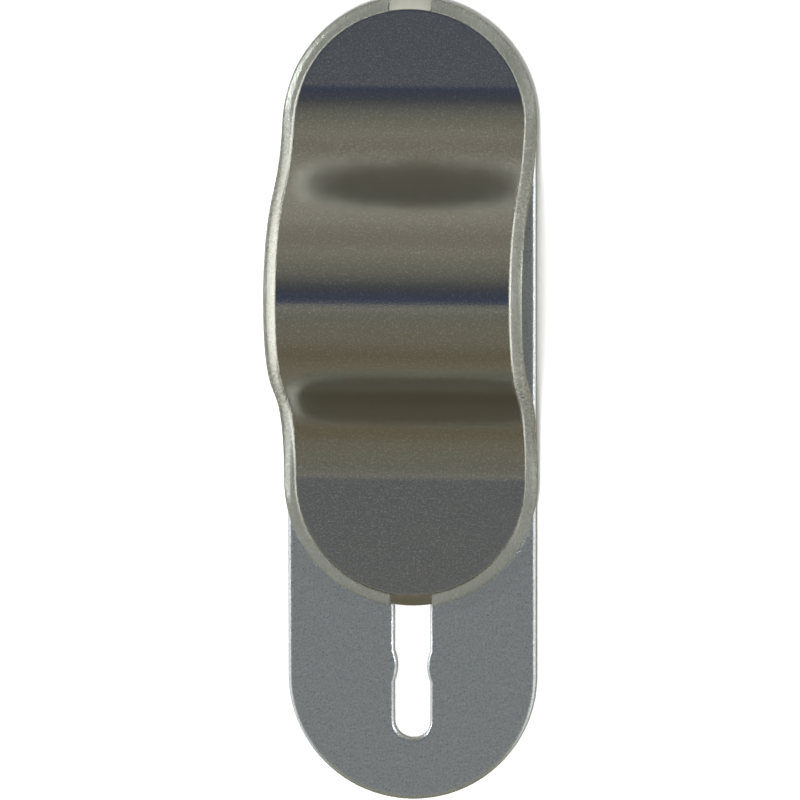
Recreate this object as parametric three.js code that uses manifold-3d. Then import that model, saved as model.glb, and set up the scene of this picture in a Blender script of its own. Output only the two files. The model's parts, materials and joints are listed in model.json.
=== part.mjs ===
// A finger-loop grip: a pressed steel base plate that sticks to a flat surface, and a spring-steel strip
// in a moulded carrier that is fixed to the plate at one end and slides in the plate's slot at the other.
// Sliding that end towards the fixed end bows the strip up into a loop for two fingers. Here it is bowed.
//
// Millimetres, +Z up. The origin is on the surface that the adhesive is stuck to, under the middle of the
// plate. +Y points along the plate to the strip's fixed end.
//
// The strip bends as a chain of short straight links. Each link is a group that hangs from the one before
// it. Flat, no group is turned; bowed, each is turned by its own share of the strip's curve.

import * as THREE from 'three';
import { mergeVertices } from 'three/addons/utils/BufferGeometryUtils.js';
import Module from 'manifold-3d';

const wasm = await Module();
wasm.setup();

// Base plate: a shallow tray, open below, with a rounded top edge.
const PLATE_LENGTH = 97;
const PLATE_WIDTH = 30;
const SHEET = 0.8;
const PLATE_TOP = 2.3;
const RIM_BOTTOM = 0.5;
const EDGE_RADIUS = 0.5;

// Slot in the plate: two lobes, with a neck between them that the slider snaps past.
const SLOT_WIDTH = 4.4;
const SLOT_LOWER_END = -41.1;
const SLOT_UPPER_END = -10.2;
const NECK_WIDTH = 3.64;
const NECK_Y = -32.3;
const NECK_LENGTH = 3.8;
const LIP_RADIUS = 0.4;

// Strip: the carrier overhangs the plate a little, and the steel face lies in the carrier's tray.
const OVERHANG = 0.3;
const CARRIER_WIDTH = PLATE_WIDTH + 2 * OVERHANG;
const STRIP_LENGTH = PLATE_LENGTH + 2 * OVERHANG;
const CARRIER_BOTTOM = 2.6;
const CARRIER_FLOOR = 3.15;
const CARRIER_TOP = 4.1;
const CARRIER_RADIUS = 0.4;
const FACE_WIDTH = 27.7;
const FACE_BOTTOM = 3.4;
const FACE_TOP = 3.8;
const FACE_INSET = (CARRIER_WIDTH - FACE_WIDTH) / 2;
const SIDE_GAP = 0.25;
const STRIP_END_Y = PLATE_LENGTH / 2 + OVERHANG;

// Bow: from FLAT_END along the strip its slope follows one sine wave, which rises to STEEPEST and back.
const FLAT_END = 10.6;
const BOW_ARC = 71.5;
const STEEPEST = THREE.MathUtils.degToRad(69.3);
const HINGE_COUNT = 20;
const HINGE_SPACING = BOW_ARC / HINGE_COUNT;
const NEUTRAL_Z = (FACE_BOTTOM + FACE_TOP) / 2;
const LINK_GAP = 0.6;

// Tongues: a tab of the steel face bent down over each end of the carrier, in a notch.
const TONGUE_WIDTH = 5;
const TONGUE_BEND = 1;
const TONGUE_ROOT = 1;
const NOTCH_WIDTH = TONGUE_WIDTH + 2 * SIDE_GAP;

// Fixings: flat-headed rivets through the carrier's floor, each pair clinched on a plate behind the tray.
const BACKING_BOTTOM = 0.6;
const BACKING_TOP = 1.2;
const FIXING_GAP = 0.1;
const SHANK_RADIUS = 0.9;
const HOLE_RADIUS = 1.05;
const HEAD_RADIUS = 1.5;
const HEAD_HEIGHT = 0.35;
const TAIL_RADIUS = 1.4;
const TAIL_BOTTOM = 0.15;
const ANCHOR_Y = 41;
const ANCHOR_RIVET_X = 4.5;
const ANCHOR_BACKING = { width: 14, length: 5, corner: 1 };
const SLIDER_FROM_END = 11.1;
const SLIDER_RIVET_Y = 1.7;
const SLIDER_BACKING = { width: 9, length: 10, corner: 1.5 };
const SHOE_WIDTH = 3.3;
const SHOE_LENGTH = 6.4;

// Adhesive pad: fills the tray and stands proud of its rim, with windows for the two backing plates.
const PAD_RADIUS = 13.8;
const WINDOW_GAP = 1;

// Facets of half circles, whole circles, rounded edges, small corners and the neck's bumps.
const ARC_STEPS = 14;
const CIRCLE_STEPS = 16;
const EDGE_STEPS = 3;
const CORNER_STEPS = 3;
const NECK_STEPS = 10;

// How far a cutter reaches past the surface that it cuts.
const CUT_MARGIN = 1;

// ---- solids -------------------------------------------------------------------------------------

function solid(geometry) {
  const bare = geometry.index ? geometry.clone() : mergeVertices(geometry);
  bare.deleteAttribute('normal');
  bare.deleteAttribute('uv');
  const merged = mergeVertices(bare, 1e-5);
  return new wasm.Manifold(new wasm.Mesh({
    numProp: 3,
    vertProperties: new Float32Array(merged.attributes.position.array),
    triVerts: new Uint32Array(merged.index.array),
  }));
}

function geometryOf(manifold) {
  const mesh = manifold.getMesh();
  const geometry = new THREE.BufferGeometry();
  geometry.setAttribute('position', new THREE.BufferAttribute(new Float32Array(mesh.vertProperties), 3));
  geometry.setIndex(Array.from(mesh.triVerts));
  return geometry;
}

// A closed solid through rings of equally many points, each { points, z }, from the lowest up.
function loft(rings) {
  const count = rings[0].points.length;
  const positions = rings.flatMap(({ points, z }) => points.flatMap(({ x, y }) => [x, y, z]));
  const triangles = [];
  for (let level = 0; level < rings.length - 1; level++) {
    for (let i = 0; i < count; i++) {
      const a = level * count + i;
      const b = level * count + (i + 1) % count;
      triangles.push(a, b, b + count, a, b + count, a + count);
    }
  }
  const top = (rings.length - 1) * count;
  for (const [a, b, c] of THREE.ShapeUtils.triangulateShape(rings[0].points, [])) {
    triangles.push(a, c, b);
  }
  for (const [a, b, c] of THREE.ShapeUtils.triangulateShape(rings.at(-1).points, [])) {
    triangles.push(top + a, top + b, top + c);
  }
  const geometry = new THREE.BufferGeometry();
  geometry.setAttribute('position', new THREE.Float32BufferAttribute(positions, 3));
  geometry.setIndex(triangles);
  return geometry;
}

function prism(points, bottom, top) {
  return solid(loft([{ points, z: bottom }, { points, z: top }]));
}

// A plate whose outline is outline(grow), with its bottom and top edges rounded.
function roundedPlate(outline, bottom, top, bottomRadius, topRadius) {
  const rings = [];
  for (const { inset, drop } of bottomRadius > 0 ? roundedEdge(bottomRadius).toReversed() : []) {
    rings.push({ points: outline(-inset), z: bottom + drop });
  }
  if (bottomRadius === 0) {
    rings.push({ points: outline(0), z: bottom });
  }
  for (const { inset, drop } of roundedEdge(topRadius)) {
    rings.push({ points: outline(-inset), z: top - drop });
  }
  return solid(loft(rings));
}

// A quarter round from an upright side to a level top, as steps inward and down from their corner.
function roundedEdge(radius) {
  const steps = [];
  for (let i = 0; i <= EDGE_STEPS; i++) {
    const angle = (i / EDGE_STEPS) * Math.PI / 2;
    steps.push({ inset: radius * (1 - Math.cos(angle)), drop: radius * (1 - Math.sin(angle)) });
  }
  return steps;
}

function box(width, length, height, x, y, z) {
  const geometry = new THREE.BoxGeometry(width, length, height);
  geometry.translate(x, y, z);
  return solid(geometry);
}

// ---- outlines -----------------------------------------------------------------------------------

// Two half circles joined by straight sides, from endY - length to endY.
function stadium(width, endY, length) {
  const radius = width / 2;
  const points = [];
  for (const [centre, start] of [[endY - radius, 0], [endY - length + radius, Math.PI]]) {
    for (let i = 0; i <= ARC_STEPS; i++) {
      const angle = start + (i / ARC_STEPS) * Math.PI;
      points.push(new THREE.Vector2(radius * Math.cos(angle), centre + radius * Math.sin(angle)));
    }
  }
  return points;
}

function roundedRectangle({ width, length, corner }, x, y) {
  const points = [];
  for (let quarter = 0; quarter < 4; quarter++) {
    const sideX = quarter === 0 || quarter === 3 ? 1 : -1;
    const sideY = quarter < 2 ? 1 : -1;
    for (let i = 0; i <= CORNER_STEPS; i++) {
      const angle = (quarter + i / CORNER_STEPS) * Math.PI / 2;
      points.push(new THREE.Vector2(
        x + sideX * (width / 2 - corner) + corner * Math.cos(angle),
        y + sideY * (length / 2 - corner) + corner * Math.sin(angle),
      ));
    }
  }
  return points;
}

// How far the slot's side is from its centreline at y: a shallow round bump on each side makes the neck.
function slotHalfWidth(y) {
  const rise = (SLOT_WIDTH - NECK_WIDTH) / 2;
  const reach = NECK_LENGTH / 2;
  const radius = (reach ** 2 + rise ** 2) / (2 * rise);
  const offset = Math.min(reach, Math.abs(y - NECK_Y));
  return NECK_WIDTH / 2 + radius - Math.sqrt(radius ** 2 - offset ** 2);
}

// A stadium, with the neck's bumps drawn in from its straight sides.
function slotOutline(grow) {
  const length = SLOT_UPPER_END - SLOT_LOWER_END;
  const ends = stadium(SLOT_WIDTH + 2 * grow, SLOT_UPPER_END + grow, length + 2 * grow);
  const side = [];
  for (let i = 0; i <= NECK_STEPS; i++) {
    const y = NECK_Y + NECK_LENGTH * (i / NECK_STEPS - 0.5);
    side.push(new THREE.Vector2(slotHalfWidth(y) + grow, y));
  }
  const mirrored = side.map(({ x, y }) => new THREE.Vector2(-x, y)).toReversed();
  return [...ends.slice(0, ARC_STEPS + 1), ...mirrored, ...ends.slice(ARC_STEPS + 1), ...side];
}

// ---- fixed pieces -------------------------------------------------------------------------------

// The slot's cutter widens to a rounded lip at the plate's top.
function slotCutter() {
  const rings = [{ points: slotOutline(0), z: 0 }];
  for (const { inset, drop } of roundedEdge(LIP_RADIUS)) {
    rings.push({ points: slotOutline(inset), z: PLATE_TOP - drop });
  }
  rings.push({ points: slotOutline(LIP_RADIUS), z: PLATE_TOP + CUT_MARGIN });
  return solid(loft(rings));
}

// A cutter for a round hole from bottom to top.
function drill(radius, x, y, bottom, top) {
  const geometry = new THREE.CylinderGeometry(radius, radius, top - bottom, CIRCLE_STEPS);
  geometry.rotateX(Math.PI / 2);
  geometry.translate(x, y, (bottom + top) / 2);
  return solid(geometry);
}

function basePlate() {
  const outline = (grow) => (
    stadium(PLATE_WIDTH + 2 * grow, PLATE_LENGTH / 2 + grow, PLATE_LENGTH + 2 * grow)
  );
  let plate = roundedPlate(outline, RIM_BOTTOM, PLATE_TOP, 0, EDGE_RADIUS);
  plate = plate.subtract(prism(outline(-SHEET), 0, PLATE_TOP - SHEET));
  plate = plate.subtract(slotCutter());
  for (const x of [-ANCHOR_RIVET_X, ANCHOR_RIVET_X]) {
    plate = plate.subtract(drill(HOLE_RADIUS, x, ANCHOR_Y, 0, PLATE_TOP + CUT_MARGIN));
  }
  return geometryOf(plate);
}

function adhesivePad() {
  const top = PLATE_TOP - SHEET;
  const endY = PLATE_LENGTH / 2 - PLATE_WIDTH / 2 + PAD_RADIUS;
  const pad = prism(stadium(2 * PAD_RADIUS, endY, 2 * endY), 0, top);
  const anchorWindow = roundedRectangle({
    width: ANCHOR_BACKING.width + WINDOW_GAP,
    length: ANCHOR_BACKING.length + WINDOW_GAP,
    corner: ANCHOR_BACKING.corner,
  }, 0, ANCHOR_Y);
  const closedY = STRIP_END_Y - STRIP_LENGTH + SLIDER_FROM_END;
  const lowest = closedY - SLIDER_BACKING.length / 2 - WINDOW_GAP;
  const highest = closedY + sliderTravel() + SLIDER_BACKING.length / 2 + WINDOW_GAP;
  const sliderWindow = roundedRectangle({
    width: SLIDER_BACKING.width + 2 * WINDOW_GAP,
    length: highest - lowest,
    corner: SLIDER_BACKING.corner,
  }, 0, (lowest + highest) / 2);
  return geometryOf(pad
    .subtract(prism(anchorWindow, -CUT_MARGIN, top + CUT_MARGIN))
    .subtract(prism(sliderWindow, -CUT_MARGIN, top + CUT_MARGIN)));
}

function backingPlate(size, holes) {
  let plate = prism(roundedRectangle(size, 0, 0), BACKING_BOTTOM, BACKING_TOP);
  for (const [x, y] of holes) {
    plate = plate.subtract(drill(HOLE_RADIUS, x, y, BACKING_BOTTOM - CUT_MARGIN, BACKING_TOP + CUT_MARGIN));
  }
  return geometryOf(plate);
}

// A rivet on the Z axis, with its flat head just under the steel face and its tail behind the plate.
function rivet() {
  const headTop = FACE_BOTTOM - FIXING_GAP;
  const headBottom = headTop - HEAD_HEIGHT;
  const tailTop = BACKING_BOTTOM - FIXING_GAP;
  const profile = [
    [0, TAIL_BOTTOM], [TAIL_RADIUS, TAIL_BOTTOM], [TAIL_RADIUS, tailTop], [SHANK_RADIUS, tailTop],
    [SHANK_RADIUS, headBottom], [HEAD_RADIUS, headBottom], [HEAD_RADIUS, headTop], [0, headTop],
  ].map(([radius, z]) => new THREE.Vector2(radius, z));
  const geometry = new THREE.LatheGeometry(profile, CIRCLE_STEPS);
  geometry.rotateX(Math.PI / 2);
  return geometryOf(solid(geometry));
}

function sliderShoe() {
  const bottom = BACKING_TOP + FIXING_GAP;
  const top = CARRIER_BOTTOM - FIXING_GAP;
  let shoe = prism(stadium(SHOE_WIDTH, SHOE_LENGTH / 2, SHOE_LENGTH), bottom, top);
  for (const y of [-SLIDER_RIVET_Y, SLIDER_RIVET_Y]) {
    shoe = shoe.subtract(drill(HOLE_RADIUS, 0, y, bottom - CUT_MARGIN, top + CUT_MARGIN));
  }
  return geometryOf(shoe);
}

// ---- the strip, laid out flat -------------------------------------------------------------------
// Flat, the strip runs from y = 0 at its fixed end to y = -STRIP_LENGTH.

// Where the hinges are along the strip, each in the middle of its own share of the bowed part.
function hingeDistances() {
  return Array.from({ length: HINGE_COUNT }, (_, index) => FLAT_END + (index + 0.5) * HINGE_SPACING);
}

// Each link is as steep as the curve is at its middle. Link 0 is the level one before the first hinge.
function linkSlope(link) {
  return STEEPEST * Math.sin(2 * Math.PI * link / HINGE_COUNT);
}

// The turn of each link from the one before it, about +X: a negative turn lifts the rest of the strip.
function hingeBends() {
  return Array.from({ length: HINGE_COUNT }, (_, index) => linkSlope(index) - linkSlope(index + 1));
}

// How much shorter the bowed strip is along the plate than the flat one.
function sliderTravel() {
  let travel = 0;
  for (let link = 0; link < HINGE_COUNT; link++) {
    travel += HINGE_SPACING * (1 - Math.cos(linkSlope(link)));
  }
  return travel;
}

function faceOutline(grow) {
  const length = STRIP_LENGTH - 2 * FACE_INSET;
  return stadium(FACE_WIDTH + 2 * grow, grow - FACE_INSET, length + 2 * grow);
}

function carrierOutline(grow) {
  return stadium(CARRIER_WIDTH + 2 * grow, grow, STRIP_LENGTH + 2 * grow);
}

// A tab at the fixed end of the face, bent down through a quarter circle at the end of the carrier.
function tongue() {
  const sheet = FACE_TOP - FACE_BOTTOM;
  const root = -FACE_INSET - TONGUE_ROOT;
  const shape = new THREE.Shape();
  shape.moveTo(root, FACE_TOP);
  shape.lineTo(-TONGUE_BEND, FACE_TOP);
  shape.absarc(-TONGUE_BEND, FACE_TOP - TONGUE_BEND, TONGUE_BEND, Math.PI / 2, 0, true);
  shape.lineTo(0, CARRIER_BOTTOM);
  shape.lineTo(-sheet, CARRIER_BOTTOM);
  shape.lineTo(-sheet, FACE_TOP - TONGUE_BEND);
  shape.absarc(-TONGUE_BEND, FACE_TOP - TONGUE_BEND, TONGUE_BEND - sheet, 0, Math.PI / 2, false);
  shape.lineTo(root, FACE_BOTTOM);
  const geometry = new THREE.ExtrudeGeometry(shape, {
    depth: TONGUE_WIDTH, bevelEnabled: false, curveSegments: EDGE_STEPS + 1,
  });
  // The outline's x runs along the strip and its y up, and the extrusion runs across the strip.
  geometry.applyMatrix4(new THREE.Matrix4().set(
    0, 0, 1, -TONGUE_WIDTH / 2,
    1, 0, 0, 0,
    0, 1, 0, 0,
    0, 0, 0, 1,
  ));
  return solid(geometry);
}

// What is at the fixed end of the strip is also at its sliding end, turned round.
function atBothEnds(piece) {
  return [piece, piece.rotate([0, 0, 180]).translate([0, -STRIP_LENGTH, 0])];
}

function flatFace() {
  let face = prism(faceOutline(0), FACE_BOTTOM, FACE_TOP);
  for (const tab of atBothEnds(tongue())) {
    face = face.add(tab);
  }
  return face;
}

function flatCarrier() {
  const height = CARRIER_TOP - CARRIER_BOTTOM + 2 * CUT_MARGIN;
  const notchDepth = FACE_INSET + SIDE_GAP;
  const notch = box(NOTCH_WIDTH, 2 * notchDepth, height, 0, 0, (CARRIER_BOTTOM + CARRIER_TOP) / 2);
  let carrier = roundedPlate(carrierOutline, CARRIER_BOTTOM, CARRIER_TOP, CARRIER_RADIUS, CARRIER_RADIUS);
  carrier = carrier.subtract(prism(faceOutline(SIDE_GAP), CARRIER_FLOOR, CARRIER_TOP + CUT_MARGIN));
  for (const cut of atBothEnds(notch)) {
    carrier = carrier.subtract(cut);
  }
  const headBottom = FACE_BOTTOM - FIXING_GAP - HEAD_HEIGHT;
  for (const { x, y } of rivetPlaces()) {
    carrier = carrier
      .subtract(drill(HOLE_RADIUS, x, y, CARRIER_BOTTOM - CUT_MARGIN, CARRIER_TOP))
      .subtract(drill(HEAD_RADIUS + FIXING_GAP, x, y, headBottom - FIXING_GAP, CARRIER_TOP));
  }
  return carrier;
}

function rivetPlaces() {
  const anchorY = ANCHOR_Y - STRIP_END_Y;
  const sliderY = SLIDER_FROM_END - STRIP_LENGTH;
  return [
    { x: -ANCHOR_RIVET_X, y: anchorY },
    { x: ANCHOR_RIVET_X, y: anchorY },
    { x: 0, y: sliderY - SLIDER_RIVET_Y },
    { x: 0, y: sliderY + SLIDER_RIVET_Y },
  ];
}

// The stretch of a flat strip from one distance to another, moved so that it starts at its own origin.
function stretch(strip, start, end) {
  const slab = box(2 * CARRIER_WIDTH, end - start, 2 * CARRIER_TOP, 0, -(start + end) / 2, NEUTRAL_Z);
  return geometryOf(strip.intersect(slab).translate([0, start, -NEUTRAL_Z]));
}

// ---- materials ----------------------------------------------------------------------------------

function material(color, roughness, metalness, options = {}) {
  return new THREE.MeshStandardMaterial({ color, roughness, metalness, ...options });
}

const plateSteel = () => material('#7b8289', 0.45, 1);
const faceSteel = () => material('#6d6a63', 0.3, 1);
const carrierPlastic = () => material('#b6b8a6', 0.35, 0, { transparent: true, opacity: 0.8 });
const adhesiveFoam = () => material('#d9d9d4', 0.9, 0);
const rivetSteel = () => material('#a9abad', 0.35, 1);
const backingSteel = () => material('#8b8f93', 0.4, 1);
const shoePlastic = () => material('#e6e3d8', 0.5, 0);

// ---- assembly -----------------------------------------------------------------------------------

function piece(name, geometry, finish) {
  const mesh = new THREE.Mesh(geometry, finish);
  mesh.name = name;
  return mesh;
}

function placed(mesh, x, y, z = 0) {
  mesh.position.set(x, y, z);
  return mesh;
}

// The names of the strip's stretches: its fixed end, its links and its sliding end.
function stretchName(index, last) {
  if (index === 0) {
    return 'fixed_end';
  }
  return index === last ? 'slider_end' : `link_${String(index).padStart(2, '0')}`;
}

// The strip as a chain of groups, each with a stretch of the face and of the carrier.
function strip() {
  const face = flatFace();
  const carrier = flatCarrier();
  const hinges = hingeDistances();
  const bends = [0, ...hingeBends()];
  const starts = [0, ...hinges];
  const ends = [...hinges, STRIP_LENGTH];
  const last = starts.length - 1;
  const chain = [];
  starts.forEach((start, index) => {
    const group = new THREE.Group();
    const from = index === 0 ? start - CUT_MARGIN : start + LINK_GAP / 2;
    const to = index === last ? ends[index] + CUT_MARGIN : ends[index] - LINK_GAP / 2;
    const name = stretchName(index, last);
    const facePiece = piece(`face_${name}`, stretch(face, from, to), faceSteel());
    const carrierPiece = piece(`carrier_${name}`, stretch(carrier, from, to), carrierPlastic());
    group.add(placed(facePiece, 0, start - from), placed(carrierPiece, 0, start - from));
    group.rotation.x = bends[index];
    if (index > 0) {
      group.position.y = starts[index - 1] - start;
      chain.at(-1).add(group);
    }
    chain.push(group);
  });
  chain[0].position.set(0, STRIP_END_Y, NEUTRAL_Z);
  return chain;
}

// The slider's hidden pieces hang from the last group of the chain, which stays level.
function slider() {
  const group = new THREE.Group();
  group.position.set(0, hingeDistances().at(-1) - STRIP_LENGTH + SLIDER_FROM_END, -NEUTRAL_Z);
  group.add(piece('slider_shoe', sliderShoe(), shoePlastic()));
  const holes = [[0, -SLIDER_RIVET_Y], [0, SLIDER_RIVET_Y]];
  group.add(piece('slider_backing_plate', backingPlate(SLIDER_BACKING, holes), backingSteel()));
  group.add(placed(piece('slider_rivet_lower', rivet(), rivetSteel()), 0, -SLIDER_RIVET_Y));
  group.add(placed(piece('slider_rivet_upper', rivet(), rivetSteel()), 0, SLIDER_RIVET_Y));
  return group;
}

function grip() {
  const whole = new THREE.Group();
  const holes = [[-ANCHOR_RIVET_X, 0], [ANCHOR_RIVET_X, 0]];
  const backing = piece('anchor_backing_plate', backingPlate(ANCHOR_BACKING, holes), backingSteel());
  whole.add(piece('base_plate', basePlate(), plateSteel()));
  whole.add(piece('adhesive_pad', adhesivePad(), adhesiveFoam()));
  whole.add(placed(backing, 0, ANCHOR_Y));
  whole.add(placed(piece('anchor_rivet_left', rivet(), rivetSteel()), -ANCHOR_RIVET_X, ANCHOR_Y));
  whole.add(placed(piece('anchor_rivet_right', rivet(), rivetSteel()), ANCHOR_RIVET_X, ANCHOR_Y));
  const chain = strip();
  chain.at(-1).add(slider());
  whole.add(chain[0]);
  return whole;
}

export default grip();
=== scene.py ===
"""Looks of a sliding finger-loop grip: a slotted steel plate, and a strip bowed up over it.

The strip's two pieces, a steel face in a translucent carrier, are made flat and then bent along the
strip's curve. Each is cut at the middle of every CAD link, so that each cut piece spans one hinge.
Flat points are (x, d, h): across the strip, along it from the fixed end, and above its neutral line.
Lengths are in millimetres here, and MM turns them into Blender's metres.
"""

import json
import math

import bmesh
import bpy
import numpy as np
from mathutils import Matrix, Vector


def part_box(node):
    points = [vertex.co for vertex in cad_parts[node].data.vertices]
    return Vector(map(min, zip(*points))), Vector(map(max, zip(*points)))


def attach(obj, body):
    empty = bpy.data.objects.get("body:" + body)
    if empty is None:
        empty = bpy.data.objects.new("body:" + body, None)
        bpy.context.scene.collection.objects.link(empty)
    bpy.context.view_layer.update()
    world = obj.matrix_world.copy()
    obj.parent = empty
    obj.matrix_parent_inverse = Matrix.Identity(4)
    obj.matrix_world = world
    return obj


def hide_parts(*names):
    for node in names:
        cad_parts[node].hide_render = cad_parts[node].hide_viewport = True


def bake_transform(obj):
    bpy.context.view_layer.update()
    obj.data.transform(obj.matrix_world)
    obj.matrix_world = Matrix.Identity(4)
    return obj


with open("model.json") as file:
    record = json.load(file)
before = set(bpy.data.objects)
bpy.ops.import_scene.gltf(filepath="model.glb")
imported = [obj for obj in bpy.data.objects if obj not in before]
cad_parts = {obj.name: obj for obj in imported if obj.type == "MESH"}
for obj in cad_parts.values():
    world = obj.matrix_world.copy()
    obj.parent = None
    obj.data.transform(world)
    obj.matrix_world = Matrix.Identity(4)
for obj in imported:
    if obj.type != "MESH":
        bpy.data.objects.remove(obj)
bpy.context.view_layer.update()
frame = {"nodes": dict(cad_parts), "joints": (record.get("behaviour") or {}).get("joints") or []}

MM = 0.001

# Base plate. A margin is a narrow flat ring beside a rounded edge, which keeps the shading clean.
EDGE_RADIUS = 0.5
EDGE_MARGIN = 0.2
SHEET = 0.8
FOOT_CHAMFER = 0.1
LIP_RADIUS = 0.4
LIP_MARGIN = 0.15
SLOT_WIDTH = 4.4
SLOT_LOWER_END = -41.1
SLOT_UPPER_END = -10.2
NECK_WIDTH = 3.64
NECK_Y = -32.3
NECK_LENGTH = 3.8
SLOT_STEPS = 24

# Adhesive pad and its two windows
PAD_GAP = 0.02
ANCHOR_WINDOW_MARGIN = 0.5
ANCHOR_WINDOW_CORNER = 1.0
SLIDER_WINDOW_MARGIN = 1.0
SLIDER_WINDOW_CORNER = 1.5

# Strip
FLAT_END = 10.6
BOW_ARC = 71.5
STEEPEST = math.radians(69.3)
FACE_WIDTH = 27.7
FACE_THICKNESS = 0.4
FACE_EDGE = 0.12
FACE_MARGIN = 0.15
FACE_UNDER_MARGIN = 0.3
CARRIER_BOTTOM = -1.0
CARRIER_FLOOR = -0.45
CARRIER_TOP = 0.5
CARRIER_WIDTH = 30.6
CARRIER_FLOOR_MARGIN = 0.5
CARRIER_UNDER_MARGIN = 0.8
RIM_INNER_RADIUS = 0.25
RIM_OUTER_RADIUS = 0.55
RIM_UNDER_RADIUS = 0.3
TRAY_GAP = 0.04
TONGUE_WIDTH = 5.0
TONGUE_BEND = 2.5
TONGUE_ROOT = 0.06
TONGUE_START = math.radians(18)
TONGUE_FINISH = math.radians(60)
TONGUE_STEPS = 12
TONGUE_SOFTENING = 0.06
TONGUE_SIDE = 0.01
TONGUE_CORNER = 1.2
NOTCH_WIDTH = 5.2
NOTCH_DEPTH = 1.6
ROW_STEP = 0.2
PAST_END = 1.0
TABLE_MARGIN = 5

# How near a point has to be to a cutting plane to count as on it
NOTCH_SNAP = 1e-5
ROW_SNAP = 1e-6
WALL_SNAP = 1e-4

# Camera, in millimetres and degrees
CAMERA_PLACE = (119.9, 154.2, 1285.4)
CAMERA_YAW = 5.40
CAMERA_PITCH = -6.82
CAMERA_ROLL = -0.07
CAMERA_LENS = 485.8
CAMERA_SENSOR = 36

# Edges between faces that meet at more degrees than this stay sharp
SHARP_ANGLE = 35

# Most noise values lie in this span
NOISE_SPAN = (0.3, 0.7)

# Studio, in metres
FLOOR_RADIUS = 3.0
VIEW_DEPTH = 10
LAMP_BLEND = 0.35
LAMP_RADIUS = 0.05

# The walls' colours, by degrees from straight up and positive towards +Y. Beside the strip they are bright.
WALLS = [
    (-110, (0.26, 0.235, 0.17)),
    (-85, (0.21, 0.185, 0.12)),
    (-60, (0.26, 0.24, 0.18)),
    (-18, (0.25, 0.245, 0.205)),
    (-11, (0.37, 0.36, 0.3)),
    (-7.9, (0.37, 0.36, 0.3)),
    (-6.7, (0.04, 0.065, 0.14)),
    (4, (0.085, 0.1, 0.14)),
    (17, (0.095, 0.1, 0.115)),
    (26, (0.165, 0.165, 0.15)),
    (38, (0.235, 0.235, 0.2)),
    (50, (0.27, 0.26, 0.21)),
    (66, (0.34, 0.32, 0.26)),
    (82, (0.3, 0.28, 0.23)),
    (95, (0.32, 0.3, 0.245)),
    (112, (0.4, 0.38, 0.32)),
]
SIDE_COLOR = (0.8, 0.8, 0.77)
SIDE_START = 0.55
SIDE_FULL = 0.85


# ---- the frame's own sizes ----------------------------------------------------------------------


def low(node, axis):
    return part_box(node)[0][axis] / MM


def high(node, axis):
    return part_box(node)[1][axis] / MM


def strip_layout():
    """The hinges' distances along the strip, and the strip's whole length."""
    places = [Vector(joint["pos_m"]) / MM for joint in frame["joints"]]
    distances = [high("face_fixed_end", 1) - places[0].y]
    for before, after in zip(places, places[1:]):
        distances.append(distances[-1] + (after - before).length)
    return distances, distances[-1] + places[-1].y - low("face_slider_end", 1)


HINGES, STRIP_LENGTH = strip_layout()
STRIP_END_Y = high("face_fixed_end", 1)
NEUTRAL_Z = frame["joints"][0]["pos_m"][2] / MM
FACE_TOP = FACE_THICKNESS / 2
FACE_INSET = (CARRIER_WIDTH - FACE_WIDTH) / 2


# ---- the strip's curve --------------------------------------------------------------------------


def curve_table(steps=4000):
    """Distance along the strip, slope, and how far the neutral line has gone along and up."""
    distance = np.linspace(-TABLE_MARGIN, STRIP_LENGTH + TABLE_MARGIN, steps)
    phase = np.clip((distance - FLAT_END) / BOW_ARC, 0, 1)
    slope = STEEPEST * np.sin(2 * np.pi * phase)
    step = np.diff(distance)
    along = np.concatenate([[0], np.cumsum((np.cos(slope[1:]) + np.cos(slope[:-1])) / 2 * step)])
    up = np.concatenate([[0], np.cumsum((np.sin(slope[1:]) + np.sin(slope[:-1])) / 2 * step)])
    return distance, slope, along - np.interp(0, distance, along), up


CURVE = curve_table()


def bent(point):
    """Where a flat point of the strip, in millimetres, is on the bowed strip, in metres."""
    x, d, h = point
    distance, slope, along, up = CURVE
    angle = np.interp(d, distance, slope)
    y = STRIP_END_Y - np.interp(d, distance, along) + h * math.sin(angle)
    z = NEUTRAL_Z + np.interp(d, distance, up) + h * math.cos(angle)
    return Vector((x, y, z)) * MM


# ---- mesh helpers -------------------------------------------------------------------------------


def stadium(width, low_end, high_end, steps=48):
    """A closed outline with half-round ends, in the plane, counterclockwise."""
    radius = width / 2
    points = []
    for centre, start in ((high_end - radius, 0.0), (low_end + radius, math.pi)):
        for i in range(steps + 1):
            angle = start + math.pi * i / steps
            points.append((radius * math.cos(angle), centre + radius * math.sin(angle)))
    return points


def rounded_rectangle(x_ends, y_ends, corner, steps=6):
    """A closed rectangular outline with rounded corners, in the plane, counterclockwise."""
    (x0, x1), (y0, y1) = x_ends, y_ends
    points = []
    for x, y, start in ((x1, y1, 0), (x0, y1, 1), (x0, y0, 2), (x1, y0, 3)):
        centre_x = x - corner if x == x1 else x + corner
        centre_y = y - corner if y == y1 else y + corner
        for i in range(steps + 1):
            angle = (start + i / steps) * math.pi / 2
            points.append((centre_x + corner * math.cos(angle), centre_y + corner * math.sin(angle)))
    return points


def add_ring(bm, outline, z):
    return [bm.verts.new((x, y, z)) for x, y in outline]


def bridge(bm, lower, upper, flip=False):
    """Quads between two rings of equally many points."""
    count = len(lower)
    for i in range(count):
        j = (i + 1) % count
        quad = (lower[i], lower[j], upper[j], upper[i])
        bm.faces.new(reversed(quad) if flip else quad)


def ring_edges(bm, ring):
    return [
        bm.edges.get((ring[i - 1], ring[i])) or bm.edges.new((ring[i - 1], ring[i]))
        for i in range(len(ring))
    ]


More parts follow.
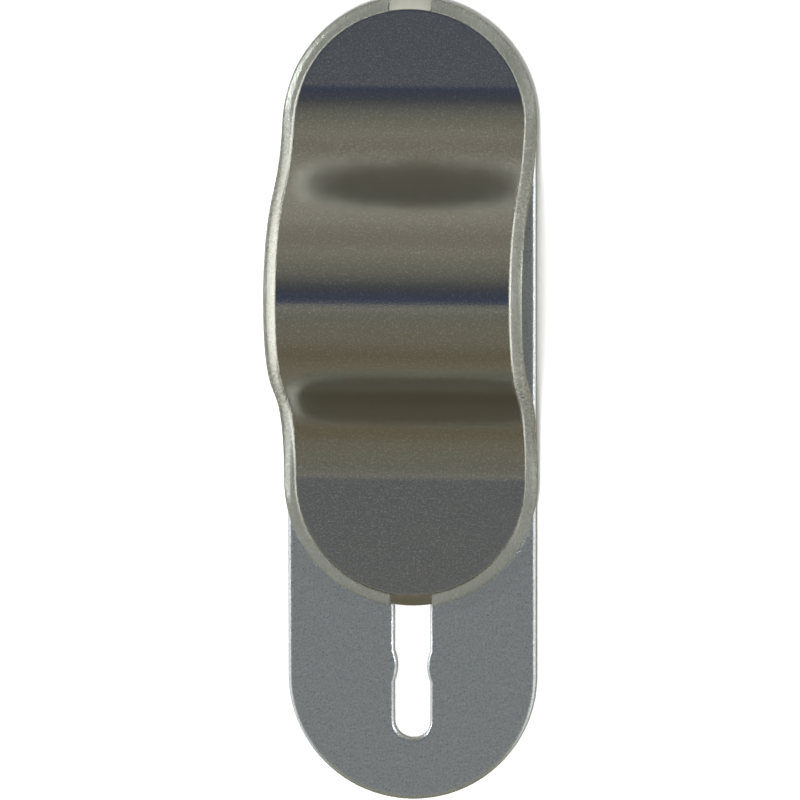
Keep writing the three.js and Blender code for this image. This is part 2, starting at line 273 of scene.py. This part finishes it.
def fill_between(bm, rings, up):
    """Flat faces between an outer ring and the rings of the holes in it."""
    edges = [edge for ring in rings for edge in ring_edges(bm, ring)]
    made = bmesh.ops.triangle_fill(bm, edges=edges, use_beauty=True, normal=(0, 0, 1 if up else -1))
    faces = [item for item in made["geom"] if isinstance(item, bmesh.types.BMFace)]
    for face in faces:
        face.normal_update()
        if (face.normal.z > 0) != up:
            face.normal_flip()


def make_object(name, bm, material, scale=MM):
    """A mesh object from bm, smooth except at its sharp edges. material is one material or a list."""
    mesh = bpy.data.meshes.new(name)
    bmesh.ops.recalc_face_normals(bm, faces=bm.faces)
    if bm.calc_volume(signed=True) < 0:
        bmesh.ops.reverse_faces(bm, faces=bm.faces)
    bm.to_mesh(mesh)
    bm.free()
    if scale != 1:
        mesh.transform(Matrix.Scale(scale, 4))
    mesh.polygons.foreach_set("use_smooth", [True] * len(mesh.polygons))
    mesh.set_sharp_from_angle(angle=math.radians(SHARP_ANGLE))
    obj = bpy.data.objects.new(name, mesh)
    bpy.context.scene.collection.objects.link(obj)
    for one in material if isinstance(material, (list, tuple)) else [material]:
        mesh.materials.append(one)
    return obj


# ---- materials ----------------------------------------------------------------------------------


class Shader:
    """A material's node tree, with the few links that every finish here uses."""

    def __init__(self, name):
        self.material = bpy.data.materials.new(name)
        self.material.use_nodes = True
        self.nodes = self.material.node_tree.nodes
        self.links = self.material.node_tree.links
        self.surface = self.nodes["Principled BSDF"]
        self.place = self.nodes.new("ShaderNodeTexCoord").outputs["Object"]

    def set(self, **values):
        for name, value in values.items():
            self.surface.inputs[name.replace("_", " ")].default_value = value

    def noise(self, size, detail=2.0, roughness=0.5, stretch=(1, 1, 1)):
        """Noise whose spots are about size millimetres across."""
        mapping = self.nodes.new("ShaderNodeMapping")
        mapping.inputs["Scale"].default_value = stretch
        self.links.new(self.place, mapping.inputs["Vector"])
        node = self.nodes.new("ShaderNodeTexNoise")
        node.inputs["Scale"].default_value = 1 / (size * MM)
        node.inputs["Detail"].default_value = detail
        node.inputs["Roughness"].default_value = roughness
        self.links.new(mapping.outputs[0], node.inputs["Vector"])
        return node.outputs["Fac"]

    def remap(self, value, source, target):
        """value moved from the span source to the span target, and held inside it."""
        node = self.nodes.new("ShaderNodeMapRange")
        node.inputs["From Min"].default_value = source[0]
        node.inputs["From Max"].default_value = source[1]
        node.inputs["To Min"].default_value = target[0]
        node.inputs["To Max"].default_value = target[1]
        self.links.new(value, node.inputs["Value"])
        return node.outputs[0]

    def mix(self, factor, first, second):
        node = self.nodes.new("ShaderNodeMix")
        node.data_type = "RGBA"
        self.links.new(factor, node.inputs["Factor"])
        node.inputs["A"].default_value = (*first, 1)
        node.inputs["B"].default_value = (*second, 1)
        return node.outputs["Result"]

    def feed(self, name, value):
        self.links.new(value, self.surface.inputs[name])

    def bump(self, *layers):
        """Bumps on each other: each layer is (height, depth in millimetres)."""
        normal = None
        for height, depth in layers:
            node = self.nodes.new("ShaderNodeBump")
            node.inputs["Distance"].default_value = depth * MM
            self.links.new(height, node.inputs["Height"])
            if normal is not None:
                self.links.new(normal, node.inputs["Normal"])
            normal = node.outputs["Normal"]
        self.feed("Normal", normal)


def face_steel():
    """Satin stainless steel: dark mirror-like reflections, with random bright specks in the base colour as
    painted glints over its real grain.
    """
    steel, painted_glint_color = (0.47, 0.47, 0.455), (0.75, 0.75, 0.76)
    shader = Shader("face_steel")
    shader.set(Metallic=1.0)
    # Painted glints: random bright specks of the base colour stand in for glints of light off the steel's
    # grain.
    painted_glint_mask = shader.remap(shader.noise(0.24, detail=2, roughness=0.8), (0.5, 0.78), (0, 1))
    shader.feed("Base Color", shader.mix(painted_glint_mask, steel, painted_glint_color))
    grain = shader.noise(0.2, detail=3, roughness=0.7)
    shader.feed("Roughness", shader.remap(grain, (0.35, 0.75), (0.07, 0.15)))
    shader.bump((shader.noise(0.14, detail=3, roughness=0.8), 0.012), (shader.noise(4, detail=2), 0.008))
    return shader.material


def tongue_finish(name, color, metallic):
    """A folded tab: fine streaks along the fold's path, on bare steel (metallic 1) or a pale, matte
    non-metal (0), for the painted lit and painted shaded copies of the one steel tab.
    """
    shader = Shader(name)
    shader.set(Metallic=metallic)
    streaks = shader.noise(0.25, detail=3, roughness=0.6, stretch=(1, 0.08, 0.08))
    shader.feed("Base Color", shader.mix(streaks, tuple(0.8 * part for part in color), color))
    shader.feed("Roughness", shader.remap(streaks, NOISE_SPAN, (0.32, 0.44)))
    shader.bump((streaks, 0.015))
    return shader.material


def plate_steel():
    """Blasted and plated steel: a soft blue-grey with an orange-peel surface."""
    hollow, peak = (0.62, 0.69, 0.77), (0.96, 1.0, 1.0)
    shader = Shader("plate_steel")
    shader.set(Metallic=1.0)
    fine = shader.noise(0.26, detail=3, roughness=0.7)
    tone = shader.remap(fine, NOISE_SPAN, (0, 1))
    shader.feed("Base Color", shader.mix(tone, hollow, peak))
    shader.feed("Roughness", shader.remap(fine, NOISE_SPAN, (0.26, 0.36)))
    shader.bump((fine, 0.035), (shader.noise(0.7, detail=2), 0.03))
    return shader.material


def carrier_plastic():
    """Pale grey-green moulded plastic that lets most light through, in soft clouds of two tones."""
    deep, pale = (0.70, 0.705, 0.63), (0.82, 0.825, 0.75)
    shader = Shader("carrier_plastic")
    shader.set(Transmission_Weight=0.86, IOR=1.45)
    tone = shader.remap(shader.noise(5, detail=3), NOISE_SPAN, (0, 1))
    shader.feed("Base Color", shader.mix(tone, deep, pale))
    flow = shader.noise(0.8, detail=3, stretch=(1, 0.3, 1))
    shader.feed("Roughness", shader.remap(flow, NOISE_SPAN, (0.18, 0.34)))
    shader.bump((flow, 0.02), (shader.noise(0.15), 0.003))
    return shader.material


def inner_cut():
    """The faces where one bending piece of the carrier meets the next: nothing shows there."""
    material = bpy.data.materials.new("inner_cut")
    material.use_nodes = True
    nodes = material.node_tree.nodes
    nodes.clear()
    clear = nodes.new("ShaderNodeBsdfTransparent")
    output = nodes.new("ShaderNodeOutputMaterial")
    material.node_tree.links.new(clear.outputs[0], output.inputs["Surface"])
    return material


def plain_steel(name, color, roughness):
    """Turned or punched steel of the hidden fixings, with fine tool marks."""
    shader = Shader(name)
    shader.set(Metallic=1.0)
    marks = shader.noise(0.3, detail=3, stretch=(1, 0.15, 1))
    shader.feed("Base Color", shader.mix(marks, color, tuple(0.85 * part for part in color)))
    shader.feed("Roughness", shader.remap(marks, NOISE_SPAN, (roughness - 0.06, roughness + 0.08)))
    shader.bump((marks, 0.01))
    return shader.material


def adhesive_foam():
    """White closed-cell foam tape."""
    pore, wall = (0.60, 0.60, 0.57), (0.74, 0.74, 0.71)
    shader = Shader("adhesive_foam")
    cells = shader.noise(0.35, detail=4, roughness=0.6)
    shader.feed("Base Color", shader.mix(cells, pore, wall))
    shader.set(Roughness=0.85)
    shader.bump((cells, 0.08))
    return shader.material


def shoe_plastic():
    """Natural acetal, a little waxy."""
    deep, pale = (0.72, 0.71, 0.66), (0.80, 0.79, 0.74)
    shader = Shader("shoe_plastic")
    flow = shader.noise(1.2, detail=3)
    shader.feed("Base Color", shader.mix(flow, deep, pale))
    shader.feed("Roughness", shader.remap(flow, NOISE_SPAN, (0.35, 0.5)))
    shader.set(Subsurface_Weight=0.1, Subsurface_Scale=0.5 * MM)
    return shader.material


# ---- the plate ----------------------------------------------------------------------------------


def slot_outline(grow):
    """The slot's outline: two lobes, with a round bump on each side that makes the neck."""
    half = SLOT_WIDTH / 2
    rise = half - NECK_WIDTH / 2
    bump_radius = ((NECK_LENGTH / 2) ** 2 + rise**2) / (2 * rise)
    reach = NECK_LENGTH / 2

    def side(y):
        offset = min(abs(y - NECK_Y), reach)
        bump = math.sqrt(bump_radius**2 - offset**2) - (bump_radius - rise)
        return half - bump + grow

    radius = half + grow
    rows = [NECK_Y + reach * (1 - 2 * i / SLOT_STEPS) for i in range(SLOT_STEPS + 1)]
    points = []
    for i in range(SLOT_STEPS + 1):
        angle = math.pi * i / SLOT_STEPS
        points.append((radius * math.cos(angle), SLOT_UPPER_END - half + radius * math.sin(angle)))
    points += [(-side(y), y) for y in rows]
    for i in range(SLOT_STEPS + 1):
        angle = math.pi * (1 + i / SLOT_STEPS)
        points.append((radius * math.cos(angle), SLOT_LOWER_END + half + radius * math.sin(angle)))
    points += [(side(y), y) for y in reversed(rows)]
    return points


def rounding(radius, steps=6):
    """(inset, drop) pairs along a rounded edge, from its vertical side to its top."""
    angles = [math.pi / 2 * i / steps for i in range(steps + 1)]
    return [(radius * (1 - math.cos(a)), radius * (1 - math.sin(a))) for a in angles]


def base_plate(material):
    """A tray of sheet steel, open below, with a rounded top edge and a rounded lip round its slot."""
    x1, y1 = high("base_plate", 0), high("base_plate", 1)
    bottom, top = low("base_plate", 2), high("base_plate", 2)
    under = top - SHEET
    bm = bmesh.new()

    def outer(inset, z):
        return add_ring(bm, stadium(2 * (x1 - inset), -y1 + inset, y1 - inset), z)

    rings = [outer(SHEET, under), outer(SHEET, bottom + FOOT_CHAMFER), outer(SHEET - FOOT_CHAMFER, bottom)]
    rings += [outer(FOOT_CHAMFER, bottom), outer(0, bottom + FOOT_CHAMFER)]
    rings += [outer(inset, top - drop) for inset, drop in rounding(EDGE_RADIUS)]
    rings.append(outer(EDGE_RADIUS + EDGE_MARGIN, top))
    for lower, upper in zip(rings, rings[1:]):
        bridge(bm, lower, upper)

    slot = [add_ring(bm, slot_outline(0), under)]
    slot += [add_ring(bm, slot_outline(inset), top - drop) for inset, drop in rounding(LIP_RADIUS)]
    slot.append(add_ring(bm, slot_outline(LIP_RADIUS + LIP_MARGIN), top))
    for lower, upper in zip(slot, slot[1:]):
        bridge(bm, lower, upper, flip=True)

    fill_between(bm, [rings[-1], slot[-1]], up=True)
    fill_between(bm, [rings[0], slot[0]], up=False)
    plate = make_object("plate_shell", bm, material)
    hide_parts("base_plate")
    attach(plate, "base")


def adhesive_pad(material):
    """Foam in the tray, standing a little proud of its rim, with windows for the backing plates."""
    x1, y1 = high("adhesive_pad", 0), high("adhesive_pad", 1)
    bottom, top = low("adhesive_pad", 2), high("adhesive_pad", 2)
    outline = stadium(2 * x1, -y1, y1)
    outlines = (outline, anchor_window(), slider_window())
    bm = bmesh.new()
    lower, upper = [[add_ring(bm, ring, z) for ring in outlines] for z in (bottom, top - PAD_GAP)]
    bridge(bm, lower[0], upper[0])
    for below, above in zip(lower[1:], upper[1:]):
        bridge(bm, below, above, flip=True)
    fill_between(bm, upper, up=True)
    fill_between(bm, lower, up=False)
    pad = make_object("foam_pad", bm, material)
    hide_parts("adhesive_pad")
    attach(pad, "base")


def anchor_window():
    """The pad's window over the fixed end's backing plate."""
    node, margin = "anchor_backing_plate", ANCHOR_WINDOW_MARGIN
    x_ends, y_ends = [(low(node, axis) - margin, high(node, axis) + margin) for axis in (0, 1)]
    return rounded_rectangle(x_ends, y_ends, ANCHOR_WINDOW_CORNER)


def slider_window():
    """The pad's window over the whole travel of the slider's backing plate."""
    node, margin = "slider_backing_plate", SLIDER_WINDOW_MARGIN
    x1 = high(node, 0) + margin
    y_ends = (low(node, 1) - strip_travel() - margin, high(node, 1) + margin)
    return rounded_rectangle((-x1, x1), y_ends, SLIDER_WINDOW_CORNER)


def strip_travel():
    """How far the sliding end comes along the slot from flat to bowed."""
    return STRIP_LENGTH - (STRIP_END_Y - low("face_slider_end", 1))


# ---- the strip ----------------------------------------------------------------------------------


def flat_outline(inset):
    """The outline of the whole flat strip, drawn in from the carrier's edge, as (x, d) points."""
    return stadium(CARRIER_WIDTH - 2 * inset, inset, STRIP_LENGTH - inset)


def flat_carrier():
    """The carrier, flat: a shallow tray with a rounded rim round the face."""
    bm = bmesh.new()
    inner = FACE_INSET - TRAY_GAP
    profile = [(inner + CARRIER_FLOOR_MARGIN, CARRIER_FLOOR), (inner, CARRIER_FLOOR)]
    profile += [(inner - inset, CARRIER_TOP - drop) for inset, drop in rounding(RIM_INNER_RADIUS, 4)]
    profile += [(inset, CARRIER_TOP - drop) for inset, drop in reversed(rounding(RIM_OUTER_RADIUS, 6))]
    profile += [(inset, CARRIER_BOTTOM + drop) for inset, drop in rounding(RIM_UNDER_RADIUS, 3)]
    profile.append((CARRIER_UNDER_MARGIN, CARRIER_BOTTOM))
    rings = [add_ring(bm, flat_outline(inset), h) for inset, h in profile]
    for first, second in zip(rings, rings[1:]):
        bridge(bm, second, first)
    bm.faces.new(rings[0])
    bm.faces.new(reversed(rings[-1]))
    for d in (0.0, STRIP_LENGTH):
        cut_notch(bm, d)
    return bm


def cut_notch(bm, end):
    """Cuts the gap for a tongue out of one end of the flat carrier, and closes its three walls."""
    depth = NOTCH_DEPTH if end == 0 else end - NOTCH_DEPTH
    for place, normal in (
        ((-NOTCH_WIDTH / 2, 0, 0), (1, 0, 0)),
        ((NOTCH_WIDTH / 2, 0, 0), (1, 0, 0)),
        ((0, depth, 0), (0, 1, 0)),
    ):
        everything = bm.verts[:] + bm.edges[:] + bm.faces[:]
        bmesh.ops.bisect_plane(bm, geom=everything, dist=NOTCH_SNAP, plane_co=place, plane_no=normal)
    gone = []
    for face in bm.faces:
        centre = face.calc_center_median()
        outside = centre.y < depth if end == 0 else centre.y > depth
        if outside and abs(centre.x) < NOTCH_WIDTH / 2:
            gone.append(face)
    bmesh.ops.delete(bm, geom=gone, context="FACES")
    loose = [edge for edge in bm.edges if not edge.link_faces]
    bmesh.ops.delete(bm, geom=loose, context="EDGES")
    for is_wall in (
        lambda v: abs(v.co.x - NOTCH_WIDTH / 2) < WALL_SNAP,
        lambda v: abs(v.co.x + NOTCH_WIDTH / 2) < WALL_SNAP,
        lambda v: abs(v.co.y - depth) < WALL_SNAP,
    ):
        edges = [e for e in bm.edges if e.is_boundary and all(is_wall(v) for v in e.verts)]
        close_wall(bm, edges)


def close_wall(bm, edges):
    """Closes an open chain of boundary edges with one face, joining its two ends."""
    if not edges:
        return
    ends = [v for e in edges for v in e.verts if sum(v in other.verts for other in edges) == 1]
    if len(ends) == 2 and bm.edges.get(ends) is None:
        edges = edges + [bm.edges.new(ends)]
    bmesh.ops.edgeloop_fill(bm, edges=edges)


def flat_face():
    """The steel face, flat: a thin plate with a softened edge."""
    bm = bmesh.new()
    profile = [(FACE_INSET + FACE_UNDER_MARGIN, -FACE_TOP), (FACE_INSET, -FACE_TOP)]
    profile += [(FACE_INSET + inset, FACE_TOP - drop) for inset, drop in rounding(FACE_EDGE, 3)]
    profile.append((FACE_INSET + FACE_EDGE + FACE_MARGIN, FACE_TOP))
    rings = [add_ring(bm, flat_outline(inset), h) for inset, h in profile]
    for first, second in zip(rings, rings[1:]):
        bridge(bm, first, second)
    bm.faces.new(reversed(rings[0]))
    bm.faces.new(rings[-1])
    return bm


def cut_across(bm, d, keep=None, cap=None):
    """Cuts a flat strip at distance d. keep "before" or "after" drops the other side and caps the cut."""
    made = bmesh.ops.bisect_plane(
        bm,
        geom=bm.verts[:] + bm.edges[:] + bm.faces[:],
        dist=ROW_SNAP,
        plane_co=(0, d, 0),
        plane_no=(0, 1, 0),
        clear_outer=keep == "before",
        clear_inner=keep == "after",
    )
    if keep:
        edges = [item for item in made["geom_cut"] if isinstance(item, bmesh.types.BMEdge)]
        for face in bmesh.ops.edgeloop_fill(bm, edges=edges)["faces"]:
            face.material_index = cap


def bend_to_curve(bm, start, end):
    """Adds rows across the strip between start and end where it curves, then bends it."""
    count = math.ceil((end - start) / ROW_STEP)
    for i in range(1, count):
        d = start + (end - start) * i / count
        if FLAT_END - PAST_END < d < FLAT_END + BOW_ARC + PAST_END:
            cut_across(bm, d)
    for vert in bm.verts:
        vert.co = bent(vert.co)


def strip_pieces(name, flat, materials, cap, node_prefix):
    """The pieces of one layer of the strip, each bent to the bowed curve across one hinge."""
    half = (HINGES[1] - HINGES[0]) / 2
    for i, hinge in enumerate(HINGES):
        first, last = i == 0, i == len(HINGES) - 1
        start = -PAST_END if first else hinge - half
        end = STRIP_LENGTH + PAST_END if last else hinge + half
        bm = flat.copy()
        if not first:
            cut_across(bm, start, keep="after", cap=cap)
        if not last:
            cut_across(bm, end, keep="before", cap=cap)
        bend_to_curve(bm, start, end)
        piece = make_object(f"{name}_{i + 1:02d}", bm, materials, scale=1)
        stand_for = [f"{node_prefix}_{link_name(i)}"] + ([f"{node_prefix}_slider_end"] if last else [])
        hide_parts(*stand_for)
        near, far = bent((0, hinge - half, 0)), bent((0, hinge + half, 0))
        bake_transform(piece)
    flat.free()


def link_name(index):
    return "fixed_end" if index == 0 else f"link_{index:02d}"


def tongue(name, material, sliding):
    """A tab of the face that starts at its round edge and curls down over one end of the carrier."""
    half = TONGUE_WIDTH / 2
    centre_d = FACE_INSET + TONGUE_ROOT + TONGUE_BEND * math.sin(TONGUE_START)
    centre_h = FACE_TOP - TONGUE_ROOT - TONGUE_BEND * math.cos(TONGUE_START)
    sweep = TONGUE_FINISH - TONGUE_START
    angles = [TONGUE_START + sweep * i / TONGUE_STEPS for i in range(TONGUE_STEPS + 1)]
    outline = []
    for radius, path in ((TONGUE_BEND, angles), (TONGUE_BEND - FACE_THICKNESS, reversed(angles))):
        outline += [(centre_d - radius * math.sin(a), centre_h + radius * math.cos(a)) for a in path]
    bm = bmesh.new()
    rings = []
    for i in range(TONGUE_STEPS + 1):
        x = half * (2 * i / TONGUE_STEPS - 1)
        bulge = CARRIER_WIDTH / 2 - math.sqrt((CARRIER_WIDTH / 2) ** 2 - x**2)
        rings.append([bm.verts.new((x, d + bulge, h)) for d, h in outline])
    for first, second in zip(rings, rings[1:]):
        bridge(bm, first, second)
    bm.faces.new(reversed(rings[0]))
    bm.faces.new(rings[-1])
    bmesh.ops.recalc_face_normals(bm, faces=bm.faces)
    sides = [edge for edge in bm.edges if abs(edge.verts[0].co.x) > half - TONGUE_SIDE]
    shared = [edge for edge in sides if len(edge.link_faces) == 2]
    corners = [edge for edge in shared if edge.calc_face_angle() > TONGUE_CORNER]
    bmesh.ops.bevel(bm, geom=corners, offset=TONGUE_SOFTENING, segments=2, affect="EDGES", profile=0.5)
    for vert in bm.verts:
        d = STRIP_LENGTH - vert.co.y if sliding else vert.co.y
        vert.co = bent((vert.co.x, d, vert.co.z))
    piece = make_object(name, bm, material, scale=1)
    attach(piece, "slider" if sliding else "base")


# ---- the whole object ---------------------------------------------------------------------------


def dress_fixings():
    """Finishes for the CAD's own hidden pieces."""
    finishes = {
        "rivet": ("rivet_steel", plain_steel("rivet_steel", (0.60, 0.61, 0.62), 0.35)),
        "backing": ("backing_steel", plain_steel("backing_steel", (0.48, 0.49, 0.51), 0.4)),
        "shoe": ("shoe_plastic", shoe_plastic()),
    }
    for node, obj in frame["nodes"].items():
        for word, (slot, material) in finishes.items():
            if word in node:
                obj.data.materials.clear()
                obj.data.materials.append(material)


def build():
    face = face_steel()
    base_plate(plate_steel())
    adhesive_pad(adhesive_foam())
    strip_pieces("face_strip", flat_face(), [face], 0, "face")
    plastic = [carrier_plastic(), inner_cut()]
    strip_pieces("carrier_strip", flat_carrier(), plastic, 1, "carrier")
    # Painted light: the fixed end's tab is the same steel as the other, made pale and matte so that it
    # looks lit.
    tongue("face_tongue_fixed", tongue_finish("tongue_painted_lit", (0.38, 0.375, 0.335), 0.0), sliding=False)
    # Painted shade: the sliding end's tab gets a darker brown tint so that it looks shaded.
    tongue("face_tongue_sliding", tongue_finish("tongue_painted_shaded", (0.52, 0.49, 0.44), 1.0), sliding=True)
    dress_fixings()


# ---- stage --------------------------------------------------------------------------------------


def floor():
    """A plain pale floor, which reflections don't show."""
    bm = bmesh.new()
    bmesh.ops.create_circle(bm, cap_ends=True, segments=96, radius=FLOOR_RADIUS)
    shader = Shader("floor_paint")
    shader.set(Roughness=0.9, Specular_IOR_Level=0.1)
    shader.surface.inputs["Base Color"].default_value = (0.9, 0.9, 0.9, 1)
    obj = make_object("floor", bm, shader.material, scale=1)
    obj.visible_glossy = False


def wall_ramp(nodes, links, y, z):
    """The walls' colours by the angle from straight up, which is the same all along X."""
    angle = nodes.new("ShaderNodeMath")
    angle.operation = "ARCTAN2"
    links.new(y, angle.inputs[0])
    links.new(z, angle.inputs[1])
    share = nodes.new("ShaderNodeMapRange")
    share.inputs["From Min"].default_value = -math.pi
    share.inputs["From Max"].default_value = math.pi
    links.new(angle.outputs[0], share.inputs["Value"])
    ramp = nodes.new("ShaderNodeValToRGB")
    links.new(share.outputs[0], ramp.inputs[0])
    elements = ramp.color_ramp.elements
    while len(elements) < len(WALLS):
        elements.new(0.5)
    for element, (degrees, color) in zip(elements, WALLS):
        element.position = (degrees + 180) / 360
        element.color = (*color, 1)
    return ramp.outputs["Color"]


def side_share(nodes, links, x):
    """How much a direction looks to one side: 0 in the middle, 1 at either side."""
    across = nodes.new("ShaderNodeMath")
    across.operation = "ABSOLUTE"
    links.new(x, across.inputs[0])
    sides = nodes.new("ShaderNodeMapRange")
    sides.interpolation_type = "SMOOTHSTEP"
    sides.inputs["From Min"].default_value = SIDE_START
    sides.inputs["From Max"].default_value = SIDE_FULL
    links.new(across.outputs[0], sides.inputs["Value"])
    return sides.outputs[0]


def surroundings():
    """Soft dim walls all round, dark straight above, and bright at the two sides."""
    world = bpy.data.worlds.new("studio")
    bpy.context.scene.world = world
    world.use_nodes = True
    nodes, links = world.node_tree.nodes, world.node_tree.links
    place = nodes.new("ShaderNodeTexCoord")
    split = nodes.new("ShaderNodeSeparateXYZ")
    links.new(place.outputs["Generated"], split.inputs[0])
    walls = wall_ramp(nodes, links, split.outputs["Y"], split.outputs["Z"])
    sides = side_share(nodes, links, split.outputs["X"])
    both = nodes.new("ShaderNodeMix")
    both.data_type = "RGBA"
    links.new(sides, both.inputs["Factor"])
    links.new(walls, both.inputs["A"])
    both.inputs["B"].default_value = (*SIDE_COLOR, 1)
    background = nodes["Background"]
    links.new(both.outputs["Result"], background.inputs["Color"])
    background.inputs["Strength"].default_value = 1.0


def lamp(name, place, power, spread, mirrored):
    """A soft lamp that points at the object. mirrored says if the steel and the clear plastic show it."""
    data = bpy.data.lights.new(name, "SPOT")
    data.energy = power
    data.spot_size = math.radians(spread)
    data.spot_blend = LAMP_BLEND
    data.shadow_soft_size = LAMP_RADIUS
    light = bpy.data.objects.new(name, data)
    bpy.context.scene.collection.objects.link(light)
    light.visible_glossy = mirrored
    light.visible_transmission = mirrored
    light.location = place
    light.rotation_euler = Vector(place).to_track_quat("Z", "Y").to_euler()


def camera():
    """A long lens, nearly straight above the plate."""
    data = bpy.data.cameras.new("camera")
    data.lens = CAMERA_LENS
    data.sensor_width = CAMERA_SENSOR
    data.clip_end = VIEW_DEPTH
    obj = bpy.data.objects.new("camera", data)
    bpy.context.scene.collection.objects.link(obj)
    yaw, pitch, roll = (math.radians(angle) for angle in (CAMERA_YAW, CAMERA_PITCH, CAMERA_ROLL))
    turn = Matrix.Rotation(yaw, 4, "Y") @ Matrix.Rotation(pitch, 4, "X") @ Matrix.Rotation(roll, 4, "Z")
    obj.matrix_world = Matrix.Translation(Vector(CAMERA_PLACE) * MM) @ turn
    bpy.context.scene.camera = obj


build()
floor()
surroundings()
lamp("lamp_left", (-0.65, 0.15, 0.4), 5, 12, mirrored=True)
lamp("lamp_right", (0.65, 0.15, 0.4), 5, 12, mirrored=True)
lamp("lamp_above", (0, 0.02, 0.9), 34, 90, mirrored=False)
camera()
bpy.context.scene.view_settings.view_transform = "Standard"

bpy.context.view_layer.update()
